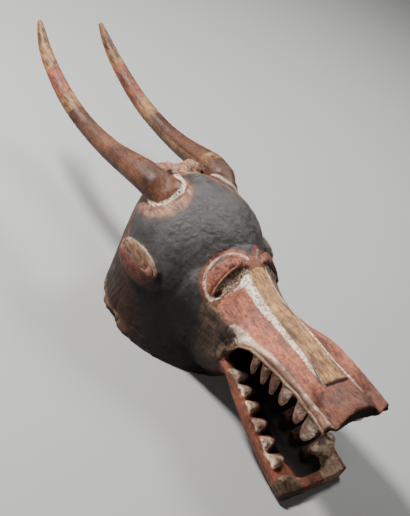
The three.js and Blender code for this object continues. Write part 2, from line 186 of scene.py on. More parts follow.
RIM_STEPS = (0.011, 14)
RIM_STEP_HEIGHT = 0.013

# Strokes of the blade in even rows: how far apart they are, and how deep.
REAR_STROKES = (0.011, 0.0006)
ROOT_STROKES = (0.0065, 0.00025)
EAR_STROKES = (0.0062, 0.00035)

# Beads and grooves: how far off their line each lies, its half width, and its height or depth.
LIP_BEAD, LIP_GROOVE = (0.0028, 0.0018, 0.0009), (0.0065, 0.0014, 0.0013)
CORNER_BEAD, CORNER_GROOVE = (0.004, 0.002, 0.001), (0.0085, 0.0016, 0.0011)
LID_BEAD, LID_FOLD = (-0.0028, 0.002, 0.0009), (0, 0.0015, 0.002)
EAR_BEAD, EAR_GROOVE = (0.007, 0.0018, 0.0014), (0.0105, 0.0014, 0.0016)
PIT_RIM, PIT_HOLE = (0, 0.008, 0.0012), (0, 0.0042, 0.0045)
FOOT_GROOVE_HALF, FOOT_GROOVE_DEPTH = 0.0016, 0.0009

# The skin beside the eye's slit, as pairs of a distance along the slit and one out of the head.
SLIT_SKIN = ((-0.03, 0.0078), (-0.015, 0.0072), (0.0, 0.0064), (0.015, 0.0052), (0.03, 0.0034))
SLIT_SINK = 0.0016

# The photograph's camera, fitted to the rim and the snout's square edges.
FRAME_WIDTH, FRAME_HEIGHT = 410, 516
FOCAL_PIXELS = 1000
SENSOR = 36
CAMERA_PLACE = (0.7642, -1.1088, 1.0333)
CAMERA_TARGET = (0.0143, -0.0135, 0.140)
CAMERA_ROLL = 29.6

# The studio: each light's place, aim, size, watts and colour, then the room and its paper floor.
LIGHTS = {
    "key": ((-1.02, -0.78, 1.66), (0.05, 0, 0.1), 0.4, 125, (1.0, 0.97, 0.93)),
    "far_side": ((-0.55, 1.2, 1.58), (0.05, 0, 0.1), 0.6, 44, (1.0, 0.98, 0.95)),
    "jaws": ((0.8, -1.15, 0.5), (0.3, 0, 0.06), 0.5, 5, (1.0, 0.96, 0.92)),
}
ROOM_COLOUR, ROOM_STRENGTH = (0.5, 0.52, 0.55, 1), 0.05
PAPER_COLOUR, PAPER_ROUGHNESS = (0.27, 0.275, 0.28, 1), 0.85
FLOOR_WIDTH = 14

# The rim's middle in the frame: the lower jaw's tip is the mask's foremost point, and the left
# ear stands a little farther out than the right.
RIM_MIDDLE = LOW.y + JAW_REACH
MIDDLE = -0.0015


def place(forward, left, up):
    """A point of the frame from its distances forward, left and up."""
    return Vector((MIDDLE + left, RIM_MIDDLE - forward, up))


def along(distance, *pairs):
    """A line through a few (distance, value) pairs, read at many distances."""
    return np.interp(distance, [pair[0] for pair in pairs], [pair[1] for pair in pairs])


def ease(low, high, value):
    """A smooth step from 0 at low to 1 at high."""
    t = np.clip((value - low) / (high - low), 0, 1)
    return t * t * (3 - 2 * t)


def mm(length):
    """A length in metres as millimetres."""
    return length * 1000


# Camera, lights and floor


def add_camera():
    data = bpy.data.cameras.new("camera")
    camera = bpy.data.objects.new("camera", data)
    SCENE.collection.objects.link(camera)
    data.sensor_width = SENSOR
    data.lens = SENSOR * FOCAL_PIXELS / max(FRAME_WIDTH, FRAME_HEIGHT)
    data.clip_start, data.clip_end = 0.05, 20
    eye = place(*CAMERA_PLACE)
    look = (place(*CAMERA_TARGET) - eye).to_track_quat("-Z", "Y").to_matrix().to_4x4()
    roll = Matrix.Rotation(math.radians(CAMERA_ROLL), 4, "Z")
    camera.matrix_world = Matrix.Translation(eye) @ look @ roll
    SCENE.camera = camera


def add_light(name, where, aim, size, watts, colour):
    data = bpy.data.lights.new(name, "AREA")
    data.shape = "DISK"
    data.size, data.energy, data.color = size, watts, colour
    light = bpy.data.objects.new(name, data)
    SCENE.collection.objects.link(light)
    start, end = place(*where), place(*aim)
    turn = (end - start).to_track_quat("-Z", "Y").to_matrix().to_4x4()
    light.matrix_world = Matrix.Translation(start) @ turn


def add_studio():
    for name, settings in LIGHTS.items():
        add_light(name, *settings)
    world = bpy.data.worlds.new("studio")
    world.use_nodes = True
    background = world.node_tree.nodes["Background"]
    background.inputs["Color"].default_value = ROOM_COLOUR
    background.inputs["Strength"].default_value = ROOM_STRENGTH
    SCENE.world = world


def add_floor():
    bpy.ops.mesh.primitive_plane_add(size=FLOOR_WIDTH, location=(0, 0, 0))
    floor = bpy.context.active_object
    floor.name = "floor"
    paper = bpy.data.materials.new("pale_paper")
    paper.use_nodes = True
    shader = paper.node_tree.nodes["Principled BSDF"]
    shader.inputs["Base Color"].default_value = PAPER_COLOUR
    shader.inputs["Roughness"].default_value = PAPER_ROUGHNESS
    floor.data.materials.append(paper)


# Reading and moving the points of a mesh


def read(mesh, what):
    """Each point's place ("co") or normal ("normal"), a row for each."""
    values = np.empty(len(mesh.vertices) * 3, np.float32)
    source = mesh.vertex_normals if what == "normal" else mesh.vertices
    source.foreach_get("vector" if what == "normal" else what, values)
    return values.reshape(-1, 3).astype(float)


def write_points(mesh, points):
    mesh.vertices.foreach_set("co", points.astype(np.float32).ravel())
    mesh.update()


def neighbours(mesh):
    """Both ends of every edge, each way round, and how many edges meet at each point."""
    ends = np.empty(len(mesh.edges) * 2, np.int32)
    mesh.edges.foreach_get("vertices", ends)
    ends = ends.reshape(-1, 2)
    here = np.concatenate([ends[:, 0], ends[:, 1]])
    there = np.concatenate([ends[:, 1], ends[:, 0]])
    return here, there, np.maximum(np.bincount(here, minlength=len(mesh.vertices)), 1)


def ring_mean(links, values):
    """The mean of each point's neighbours."""
    here, there, count = links
    sums = [np.bincount(here, weights=values[there, k], minlength=len(count)) for k in range(values.shape[1])]
    return np.stack(sums, 1) / count[:, None]


def lattice(cells, seed):
    """A repeatable number from 0 to 1 for each whole-number cell."""
    x, y, z = cells[..., 0], cells[..., 1], cells[..., 2]
    mixed = x * 374761393 + y * 668265263 + z * 2147483647 + seed * 974634777
    mixed = (mixed ^ (mixed >> 13)) * 1274126177
    return ((mixed ^ (mixed >> 16)) & 0xFFFF) / 65535.0


def noise(points, size, seed):
    """Smooth noise from -1 to 1 with lumps about size across."""
    spot = points / np.asarray(size) + 1000
    cell = np.floor(spot).astype(np.int64)
    t = spot - cell
    t = t * t * (3 - 2 * t)
    total = np.zeros(len(points))
    for corner in np.ndindex(2, 2, 2):
        step = np.array(corner)
        weight = np.prod(np.where(step, t, 1 - t), axis=1)
        total += weight * lattice(cell + step, seed)
    return total * 2 - 1


# Where each point of the mask lies


def horn_line(side):
    """Points down the middle of one horn, each with its half thickness."""
    line = [
        (-0.066, 0.060, 0.193, 0.0255),
        (-0.088, 0.069, 0.203, 0.0265),
        (-0.118, 0.076, 0.205, 0.0265),
        (-0.159, 0.078, 0.196, 0.0235),
        (-0.213, 0.079, 0.184, 0.0195),
        (-0.280, 0.079, 0.178, 0.0165),
        (-0.350, 0.078, 0.182, 0.0148),
        (-0.410, 0.076, 0.195, 0.0128),
        (-0.460, 0.073, 0.212, 0.0105),
        (-0.506, 0.067, 0.238, 0.0050),
    ]
    return np.array([(f, side * s, u, r) for f, s, u, r in line])


def horn_distance(spots, out):
    """How far each point is outside the nearer horn's skin, and how squarely it faces off it."""
    best = np.full(len(spots), 1.0)
    facing = np.zeros(len(spots))
    for side in (-1, 1):
        line = horn_line(side)
        knob = np.array([KNOB[0], side * KNOB[1], KNOB[2]])
        stretches = list(zip(line[:-1], line[1:]))
        stretches.append((np.append(knob, KNOB_RADIUS), np.append(knob + 0.0001, KNOB_RADIUS)))
        for start, end in stretches:
            step = end - start
            reach = spots - start[:3]
            t = np.clip(reach @ step[:3] / (step[:3] @ step[:3]), 0, 1)
            away = reach - t[:, None] * step[:3]
            far = np.linalg.norm(away, axis=1)
            gap = far - (start[3] + t * step[3])
            nearer = gap < best
            best = np.where(nearer, gap, best)
            facing = np.where(nearer, np.einsum("ij,ij->i", away, out) / np.maximum(far, 0.0001), facing)
    return best, facing


def eye_axes():
    """The eye's own directions: along its slit, back over the lid, and out of the head."""
    run = np.array(EYE_ALONG) / np.linalg.norm(EYE_ALONG)
    out = np.array(EYE_OUT) / np.linalg.norm(EYE_OUT)
    back = np.cross(run, out)
    return run, back * -np.sign(back[0]), out


def ear_axes():
    """The ear's own directions: along its rim, up, and out of the head."""
    run = np.array(EAR_ALONG) / np.linalg.norm(EAR_ALONG)
    up = np.array(EAR_UPRIGHT) - run * (run @ np.array(EAR_UPRIGHT))
    up /= np.linalg.norm(up)
    out = np.cross(run, up)
    return run, up, out * np.sign(out[1])


def trail(spots, *stops):
    """How far each point is from a line through a few stops."""
    stops = np.array(stops)
    best = np.full(len(spots), 1.0)
    for start, end in zip(stops[:-1], stops[1:]):
        step = end - start
        reach = spots - start
        t = np.clip(reach @ step / (step @ step), 0, 1)
        best = np.minimum(best, np.linalg.norm(reach - t[:, None] * step, axis=1))
    return best


class Spots:
    """The points of the mask in its own terms, for carving and painting by place.

    Near is the mask's right side, which the camera sees. Mirror holds each place as if it were
    on the mask's left, so that one mark serves both sides.
    """

    def __init__(self, mesh):
        points = read(mesh, "co")
        normals = read(mesh, "normal")
        self.forward = RIM_MIDDLE - points[:, 1]
        self.left = points[:, 0] - MIDDLE
        self.up = points[:, 2]
        self.side = np.abs(self.left)
        self.near = self.left < 0
        self.place = np.stack([self.forward, self.left, self.up], 1)
        self.mirror = np.stack([self.forward, self.side, self.up], 1)
        out = np.stack([-normals[:, 1], normals[:, 0], normals[:, 2]], 1)
        self.faces_front, self.faces_up = out[:, 0], out[:, 2]
        self.outer = np.einsum("ij,ij->i", out, self.place - np.array(HEAD_MIDDLE)) > 0
        self.horn, facing = horn_distance(self.place, out)
        self.on_horn = (self.horn < 0.003) & ((facing > 0.72) | (self.forward < -0.14))
        self.find_head()
        self.find_eye()
        self.find_ear()

    def find_head(self):
        """The skull's front at each height, and the snout's lines at each distance forward."""
        arc = np.sqrt(np.clip(1 - (self.up / SKULL_HEIGHT) ** 5, 0, 1))
        lean = SKULL_LEAN * self.up / SKULL_LEAN_HEIGHT
        self.skull_front = SKULL_MIDDLE - lean + SKULL_HALF_LENGTH * arc
        self.foot = along(self.forward, *RIDGE_FOOT)
        self.lip = along(self.forward, *LIP_SIDE)
        self.lip_edge = along(self.forward, *LIP_EDGE)
        self.jaw_top = along(self.forward, *JAW_TOP)

    def find_eye(self):
        """Distances in the eye's own directions; the ring is 1 round its lid, the lens at its slit."""
        run, back, out = eye_axes()
        toward = self.mirror - np.array(EYE)
        self.eye_run, self.eye_back, self.eye_out = toward @ run, toward @ back, toward @ out
        self.by_eye = np.abs(self.eye_out) < LID_REACH
        length = (self.eye_run + 0.004) / LID_HALF_LENGTH
        self.eye_ring = np.hypot(length, np.maximum(self.eye_back, 0) / LID_DEPTH)
        lens = np.stack([self.eye_run, self.eye_back + LENS_FORWARD, self.eye_out - LENS_OUT], 1)
        self.eye_lens = np.linalg.norm(lens / np.array(LENS_HALVES), axis=1)

    def find_ear(self):
        """Distances in the ear's own directions; the ear is 1 on its shell, the scoop in its hollow."""
        shifted = np.outer(self.left > 0, LEFT_EAR_SHIFT)
        ear = (self.mirror - np.array(EAR) - shifted) @ np.stack(ear_axes(), 1)
        self.ear_run, self.ear_up, self.ear_out = ear.T
        self.ear = np.linalg.norm(ear / np.array(EAR_HALVES), axis=1)
        self.scoop = np.linalg.norm((ear - np.array(SCOOP)) / np.array(SCOOP_HALVES), axis=1)


# Shaping the mask


def even_copy(node):
    """A copy of the solid with its points merged and its skin laid again in even faces."""
    piece = bpy.data.objects.new("carved_mask", node.data.copy())
    SCENE.collection.objects.link(piece)
    bpy.ops.object.select_all(action="DESELECT")
    bpy.context.view_layer.objects.active = piece
    piece.select_set(True)
    bpy.ops.object.mode_set(mode="EDIT")
    bpy.ops.mesh.select_all(action="SELECT")
    bpy.ops.mesh.remove_doubles(threshold=MERGE_REACH)
    bpy.ops.mesh.normals_make_consistent(inside=False)
    bpy.ops.object.mode_set(mode="OBJECT")
    remesh = piece.modifiers.new("even", "REMESH")
    remesh.mode = "VOXEL"
    remesh.voxel_size = VOXEL
    bpy.ops.object.modifier_apply(modifier="even")
    return piece


def softness(spots):
    """How much each point may be eased: open surfaces freely, teeth and edges little."""
    mouth = (spots.forward > 0.165) & (spots.side < 0.074) & (spots.up < spots.lip_edge + 0.004)
    eye = (np.abs(spots.eye_run) < 0.048) & (np.abs(spots.eye_back) < 0.045) & spots.by_eye
    slit = eye & (np.abs(spots.eye_back) < 0.016)
    ridge = (spots.forward > 0.11) & (np.abs(spots.side - spots.foot) < 0.012) & (spots.up > RIDGE_UP)
    soft = np.full(len(spots.side), 1.0)
    soft[mouth] = 0.5
    soft[eye] = 0.5
    soft[slit] = 0.2
    soft[spots.ear < 1.15] = 0.3
    soft[ridge] = 0.35
    soft[np.abs(spots.forward - SLIT) < 0.012] *= 0.4
    soft[spots.up < 0.006] = 0.15
    return soft


def ease_skin(mesh):
    """Rounds off the solid's facets, more on open surfaces than on carved edges.

    Each round pulls the points together and the next pushes them apart by less, so that the
    mask keeps its size. The crease at the temple is then smoothed out on its own.
    """
    links = neighbours(mesh)
    soft = ring_mean(links, softness(Spots(mesh))[:, None])
    points = read(mesh, "co")
    for turn in range(SMOOTHING_ROUNDS):
        step = ring_mean(links, points) - points
        pull = 0.62 if turn % 2 == 0 else -0.52
        points += step * soft * pull
    spots = Spots(mesh)
    temple = bump_at(trail(spots.mirror, *TEMPLE), 0.014) * spots.outer * ease(1.18, 1.4, spots.eye_ring)
    for _ in range(TEMPLE_ROUNDS):
        points += (ring_mean(links, points) - points) * temple[:, None] * 0.7
    write_points(mesh, points)


def bump_at(distance, width):
    """A soft bump, 1 in its middle, for a bead, a groove or a pit of that half width."""
    return np.exp(-((distance / width) ** 2))


def bead_and_groove(distance, bead, groove):
    """A raised bead with a groove beside it, each as its place, half width and height or depth."""
    raised = bump_at(distance - bead[0], bead[1]) * bead[2]
    return raised - bump_at(distance - groove[0], groove[1]) * groove[2]


def relief(spots, size, depth, seed):
    """Lumps about size across, raised and sunk by up to depth."""
    return noise(spots.place, size, seed) * depth


def head_marks(spots):
    """Adze facets, crusty patina, torn rim and lumpy crest."""
    head = spots.outer & (spots.horn > 0.002) & (spots.ear > 1.1) & (spots.eye_lens > 1.25)
    head &= spots.forward < spots.skull_front + 0.008
    crust = ease(-0.06, 0.02, spots.forward) * 0.7 + 0.3
    lift = head * (relief(spots, *ADZE_FACETS) + relief(spots, *TOOL_RIPPLES))
    lift += head * crust * relief(spots, *PATINA_LUMPS)
    pitch, depth = REAR_STROKES
    rear = head * ease(0.03, -0.03, spots.forward) * ease(0.15, 0.1, spots.up)
    lift += rear * np.abs(np.sin(spots.forward / pitch * math.pi + noise(spots.place, 0.03, 7) * 1.5)) * depth
    torn = head * ease(0.034, 0.006, spots.up) * ease(0.07, -0.02, spots.forward)
    lift -= torn * np.clip(noise(spots.place, *TORN_RIM) + 0.2, 0, 1) * TORN_DEPTH
    lift -= torn * np.clip(noise(spots.place, *SPLINTERS), 0, 1) * SPLINTER_DEPTH
    for stops in RIM_SCRATCHES:
        lift -= spots.outer * bump_at(trail(spots.place, *stops), SCRATCH_HALF) * SCRATCH_DEPTH
    lift -= spots.outer * bump_at(trail(spots.place, *HEAD_CRACK), CRACK_HALF) * CRACK_DEPTH
    pit = np.linalg.norm(spots.place - np.array(CROWN_PIT), axis=1)
    lift += spots.outer * bead_and_groove(pit, PIT_RIM, PIT_HOLE)
    crest = spots.outer * (spots.horn > 0.004) * ease(-0.1, -0.112, spots.forward)
    crest = crest * ease(0.188, 0.2, spots.up)
    lift += crest * (relief(spots, *CREST_LUMPS) + relief(spots, *CREST_GRAIN))
    return lift


def face_marks(spots):
    """The snout's tool marks, the beads and grooves along its lips, and the lid's fold."""
    snout = (spots.forward > spots.skull_front) & (spots.horn > 0.01) & (spots.eye_lens > 1.25)
    lift = snout * (relief(spots, *SNOUT_FACETS) + relief(spots, *SNOUT_GRAIN))
    pitch, depth = ROOT_STROKES
    root = snout * ease(0.18, 0.16, spots.forward) * ease(0.066, 0.074, spots.side)
    lift += root * np.sin(spots.forward / pitch * 2 * math.pi + noise(spots.place, 0.02, 7) * 2) * depth
    ledge = spots.up - spots.lip_edge
    lip = snout * (spots.side > 0.066) * (spots.forward > 0.15) * (ledge > -0.002) * (ledge < 0.02)
    lift += lip * bead_and_groove(ledge, LIP_BEAD, LIP_GROOVE)
    lift += spots.outer * bead_and_groove(trail(spots.mirror, *MOUTH_CORNER), CORNER_BEAD, CORNER_GROOVE)
    ridge = (spots.forward > RIDGE_START) & (spots.up > RIDGE_UP)
    lift += (ridge & (spots.side < spots.foot)) * relief(spots, *RIDGE_GRAIN)
    groove = bump_at(spots.side - spots.foot + 0.001, FOOT_GROOVE_HALF) * FOOT_GROOVE_DEPTH
    lift -= (ridge & (spots.forward < SLIT)) * groove
    fold = spots.eye_back - 0.0145 + (spots.eye_run / LID_HALF_LENGTH) ** 2 * 0.010
    on_lid = (spots.eye_back > 0.004) & (spots.eye_out > -0.008) & spots.by_eye
    on_lid = on_lid & (spots.eye_run > -0.022) & (spots.eye_run < 0.036)
    lift += on_lid * bead_and_groove(fold, LID_BEAD, LID_FOLD)
    return lift


def ear_marks(spots):
    """Knife strokes round the ear's shell, and a raised edge round its hollow."""
    by_ear = (spots.ear < 1.12) & spots.outer & (spots.horn > 0.02)
    pitch, depth = EAR_STROKES
    shell = by_ear & (spots.scoop > 1.2) & (spots.ear_out > 0.004)
    strokes = np.sin(spots.ear_run / pitch * 2 * math.pi + spots.ear_up * 60)
    raised = by_ear & (spots.ear_out < 0.018) & (spots.ear_up > 0.002)
    return shell * strokes * depth + raised * bead_and_groove(spots.ear_out, EAR_BEAD, EAR_GROOVE)


def crust_slit(mesh):
    """Old dirt and paint fill the eye's slit almost to the snout's skin, along the lid's edge."""
    spots = Spots(mesh)
    level = along(spots.eye_run, *SLIT_SKIN) - SLIT_SINK + 0.06 * (spots.eye_back + 0.01)
    level += relief(spots, *SLIT_CRUST)
    low = (spots.eye_lens < 1.3) & (np.abs(spots.eye_back) < 0.012) & (np.abs(spots.eye_run) < 0.037)
    low &= (spots.eye_out > -0.01) & spots.outer
    rise = np.where(low, np.maximum(level - spots.eye_out, 0), 0)
    out = eye_axes()[2]
    way = np.stack([np.sign(spots.left) * out[1], np.full(len(rise), -out[0]), np.full(len(rise), out[2])], 1)
    write_points(mesh, read(mesh, "co") + way * rise[:, None])


def carve(mesh):
    """Moves each point out of the skin by what was cut or worn there, and breaks the rear rim."""
    spots = Spots(mesh)
    lift = head_marks(spots) + face_marks(spots) + ear_marks(spots)
    lift += (spots.horn < 0.004) * relief(spots, *HORN_FACETS)
    points = read(mesh, "co") + read(mesh, "normal") * lift[:, None]
    points[:, 2] = np.maximum(points[:, 2], 0)
    broken = np.clip(noise(spots.place * [1, 1, 0], *RIM_STEPS) - 0.1, 0, 0.5)
    broken *= ease(0.09, 0.03, spots.forward)
    points[:, 2] += broken * np.clip(1 - points[:, 2] / 0.024, 0, 1) * RIM_STEP_HEIGHT
    write_points(mesh, points)


def thin_out(piece):
    """Fewer faces, so that the piece stays light, taken first where the skin is flattest."""
    triangles = len(piece.data.polygons) * 2
    if triangles > MOST_TRIANGLES:
        decimate = piece.modifiers.new("thin", "DECIMATE")
        decimate.ratio = MOST_TRIANGLES / triangles
        bpy.ops.object.modifier_apply(modifier="thin")


# Painting the mask: each field is millimetres inside the edge of one paint

# How many millimetres inside or outside an edge the fields still tell.
FIELD_REACH = 20.0


def band(distance, half):
    """A band of that half width about a line."""
    return mm(half - np.abs(distance))


def inside(*fields):
    """The ground that all the fields share."""
    return np.minimum.reduce([np.broadcast_to(field, fields[0].shape) for field in fields])


def either(*fields):
    """The ground that any of the fields covers."""
    return np.maximum.reduce(fields)


def only(test, field):
    """The field where the test holds, and far outside its edge elsewhere."""
    return np.where(test, field, -FIELD_REACH)


def by_side(spots, near, far):
    """One value on the near side and another on the far side."""
    return np.where(spots.near, near, far)


def snout_top(spots):
    """Where the snout's top is, ahead of the brow."""
    return (spots.faces_up > 0.0) & (spots.up > TOP_UP) & (spots.forward > TOP_START)


def outward(spots):
    """From 0 near the mask's middle to 1 at the horns' outer sides."""
    return ease(0.03, 0.075, spots.side)


def white_paint(spots):
    """White lines beside the ridge, over and under each eye, and before each horn's root."""
    top = snout_top(spots)
    foot_half = along(spots.forward, *FOOT_WHITE_HALF)
    foot = only(top & spots.near, band(spots.side - along(spots.forward, *FOOT_WHITE), foot_half))
    far_line = along(spots.forward, *FAR_FOOT_WHITE)
    far_foot = only(top & ~spots.near, band(spots.side - far_line, FAR_FOOT_HALF))
    eye_skin = (np.abs(spots.eye_out) < 0.028) & spots.outer
    arch = only(eye_skin & (spots.eye_back > -0.002), band((spots.eye_ring - 1.055) * LID_MEAN, ARCH_HALF))
    under = only(eye_skin & (spots.eye_lens > 1.0), band(trail(spots.mirror, *UNDER_EYE), UNDER_EYE_HALF))
    broad = ease(0.08, 0.055, spots.side) * ease(-0.125, -0.1, spots.forward)
    collar_half = COLLAR_HALF + broad * COLLAR_SPREAD
    collar = only(spots.near, band(trail(spots.mirror, *NEAR_COLLAR), collar_half))
    far_collar = only(~spots.near, band(trail(spots.mirror, *FAR_COLLAR), FAR_COLLAR_HALF))
    return either(foot, far_foot, arch, under, collar, far_collar)


def red_paint(spots):
    """Red on the snout's top beside the ridge, the lids, ears and jaws, and a band on each horn."""
    top = (spots.faces_up > -0.1) & (spots.up > TOP_UP)
    beside = inside(
        mm(spots.side - spots.foot - 0.001), mm(spots.lip - spots.side), mm(spots.forward - RIDGE_START),
    )
    beside = only(top & (spots.eye_back < -0.009), beside)
    beside = np.minimum(beside, mm(0.326 + 0.02 * (spots.side > spots.foot) - spots.forward))
    near_eye = spots.by_eye & spots.outer & (spots.eye_back > -0.004)
    ring = only(near_eye, band((spots.eye_ring - 1.1) * LID_MEAN, 0.0055))
    lid = only(near_eye & (spots.eye_lens > 1.0), mm((1.06 - spots.eye_ring) * LID_MEAN))
    shell = only((spots.ear < 1.08) & (spots.horn > 0.03) & spots.outer, mm(spots.ear_out - 0.009))
    jaw = only((spots.forward > 0.17) & (spots.up < spots.lip_edge - 0.004), 3.0)
    start = by_side(spots, *HORN_RING) + by_side(spots, *HORN_RING_HALF)
    tip = by_side(spots, *HORN_TIP)
    horn = only(spots.on_horn, inside(mm(-spots.forward - start), mm(tip + spots.forward)))
    nose = only(top & (spots.forward > 0.312) & (spots.side < spots.lip), 1.4)
    return either(beside, nose, ring, lid, shell, jaw, horn)


def clay_crust(spots):
    """Dusty reddish clay round the horns' roots, on the crest between them and on the nose."""
    skin = spots.outer & ~spots.on_horn
    collar = only(skin & (spots.up > 0.15), mm(0.006 + outward(spots) * 0.013 - spots.horn))
    crest = only(skin & (spots.up > 0.185), mm(-0.1 - spots.forward))
    nose = only((spots.faces_up > -0.1) & (spots.up > TOP_UP), mm(spots.forward - SLIT))
    return either(collar, crest, nose)


def black_paint(spots):
    """Black patina on the front and top of the head, short of the horns' roots."""
    head = spots.outer & ~spots.on_horn & (spots.eye_ring > 1.2)
    rear = mm(spots.forward - along(spots.up, *PATINA_REAR))
    front = mm(spots.skull_front + 0.024 - spots.forward)
    away = mm(spots.horn - 0.006 - outward(spots) * 0.012)
    return only(head, inside(rear, front, away))


def ochre_paint(spots):
    """Ochre on the ridge, on each horn's tip and ring, and in a patch on the far horn."""
    top = (spots.faces_up > 0.1) & (spots.up > RIDGE_UP) & (spots.forward > 0.098)
    ridge = only(top, inside(mm(spots.foot - 0.001 - spots.side), mm(SLIT - 0.004 - spots.forward)))
    tip = only(spots.on_horn, mm(-spots.forward - by_side(spots, *HORN_TIP)))
    middle, half = by_side(spots, *HORN_RING), by_side(spots, *HORN_RING_HALF)
    ring = only(spots.on_horn, band(spots.forward + middle, half))
    patch = inside(band(spots.forward + 0.133, 0.011), mm(spots.up - 0.212))
    return either(ridge, tip, ring, only(spots.on_horn & ~spots.near, patch))


def olive_dirt(spots):
    """Greenish brown dirt on the snout's root, in the ears, beside the ridge and at the jaw's tip."""
    root = only(spots.outer & (spots.eye_ring > 1.1), inside(
        mm(0.176 - spots.forward), mm(spots.forward - spots.skull_front + 0.004),
        mm(spots.side - 0.071), mm(spots.up - 0.05),
    ))
    scoop = only((spots.ear < 1.15) & spots.outer & (spots.ear_up > 0), inside(
        (1.1 - spots.scoop) * 25, mm(spots.ear_out - 0.009), (0.034 - spots.ear_run) * 500,
    ))
    beside = (spots.up > RIDGE_UP) & (spots.forward > RIDGE_START) & (spots.forward < SLIT)
    trench = only(beside, band(spots.side - spots.foot + 0.003, 0.003))
    jaw_tip = only((spots.forward > 0.362) & (spots.up < 0.05), mm(-0.03 - spots.left))
    return either(root, scoop, trench, jaw_tip)


def tan_edge(spots):
    """Bare tan wood on rubbed edges: ears, lips, the mouth's corners and the jaw's far corner."""
    by_ear = (spots.ear < 1.14) & spots.outer & (spots.ear_up > 0.002)
    rim = only(by_ear & (spots.scoop > 1.0), band(spots.ear_out - EAR_BEAD[0], 0.0022))
    on_edge = by_ear & (spots.ear_out > 0.012) & (spots.ear_run < 0.02)
    edge = only(on_edge, band((spots.scoop - 1.13) * 0.02, 0.0008))
    ledge = spots.up - spots.lip_edge
    bead = only((spots.forward > 0.17) & (spots.side > 0.064), band(ledge - 0.0025, 0.0032))
    corner = only(spots.outer, band(trail(spots.mirror, *MOUTH_CORNER) - 0.003, 0.0014))
    jaw_tip = only((spots.up < 0.05) & (spots.faces_up > -0.3), inside(
        mm(spots.forward - 0.345), mm(spots.left - 0.018), mm(0.068 - spots.left),
    ))
    return either(rim, edge, bead, corner, jaw_tip)


def lip_cream(spots):
    """Cream brushed along the upper lips, broad at the near side's root and corner."""
    top = snout_top(spots) & (spots.forward > 0.15)
    lip_half = along(spots.forward, *LIP_CREAM_HALF)
    lip = only(top & spots.near, band(spots.side - along(spots.forward, *LIP_CREAM), lip_half))
    far_lip = only(top & ~spots.near, band(spots.side - FAR_LIP_CREAM, FAR_LIP_HALF))
    cheek = spots.near & (spots.up > 0.112) & (spots.up > spots.lip_edge)
    cheek &= (spots.forward > 0.152) & (spots.forward < 0.2)
    return either(lip, far_lip, only(cheek, band(trail(spots.place, *CHEEK_CREAM), CHEEK_HALF)))


def tooth_cream(spots):
    """Cream on the lower pegs and on two upper teeth of a side; the others keep a brown skin."""
    upper = (spots.up < spots.lip_edge - 0.003) & (spots.up > spots.lip_edge - 0.054) & (spots.side > 0.046)
    lower = (spots.up > spots.jaw_top + 0.0008) & (spots.up < spots.jaw_top + 0.045)
    lower &= (spots.side < 0.0745) & (spots.forward > 0.19)
    reach = (spots.forward > 0.19) & (spots.forward < 0.366)
    cream = np.where(upper & ~lower, along(spots.forward, *UPPER_TEETH_CREAM), 2.0)
    return only(reach & (upper | lower), cream)


def cream_paint(spots):
    return either(tooth_cream(spots), lip_cream(spots))


def painted_shade_black(spots):
    """Painted shade: black in the mouth and throat, on the nose's front and in the nostril slit, where shadow
    falls.
    """
    mouth = (spots.forward > 0.155) & (spots.forward < 0.372)
    mouth &= (spots.side < 0.062) & (spots.up < spots.lip_edge + 0.006)
    inner = mouth & ((spots.faces_up > -0.35) | (spots.up > 0.1))
    trough = only(inner & (spots.up < spots.jaw_top - 0.0015), mm(0.052 - spots.side))
    roof = only(mouth & (spots.up > spots.lip_edge - 0.012), 6.0)
    back = only(inner & (spots.forward < 0.2), 6.0)
    passage = (spots.forward < 0.19) & (spots.forward > 0.06) & (spots.side < 0.05)
    throat = only(passage & ~spots.outer, 6.0)
    nose = only((spots.faces_front > 0.6) & (spots.forward > 0.355) & (spots.up > TOP_UP), 5.0)
    slit = only((np.abs(spots.forward - SLIT) < 0.004) & (spots.side < 0.028) & (spots.up > 0.16), 4.0)
    return either(trough, roof, back, throat, nose, slit)


def umber_crust(spots):
    """Dark brown crust in the eye's slit."""
    return only(spots.by_eye, (1.02 - spots.eye_lens) * 10)


def bare_wood(spots):
    """Bare wood in the head's hollow and on the rear of its rim."""
    rim = inside(mm(0.02 - spots.up), mm(0.03 - spots.forward))
    hollow = only(~spots.outer & (spots.forward < 0.1) & (spots.up < 0.225), 8.0)
    return either(rim, hollow)


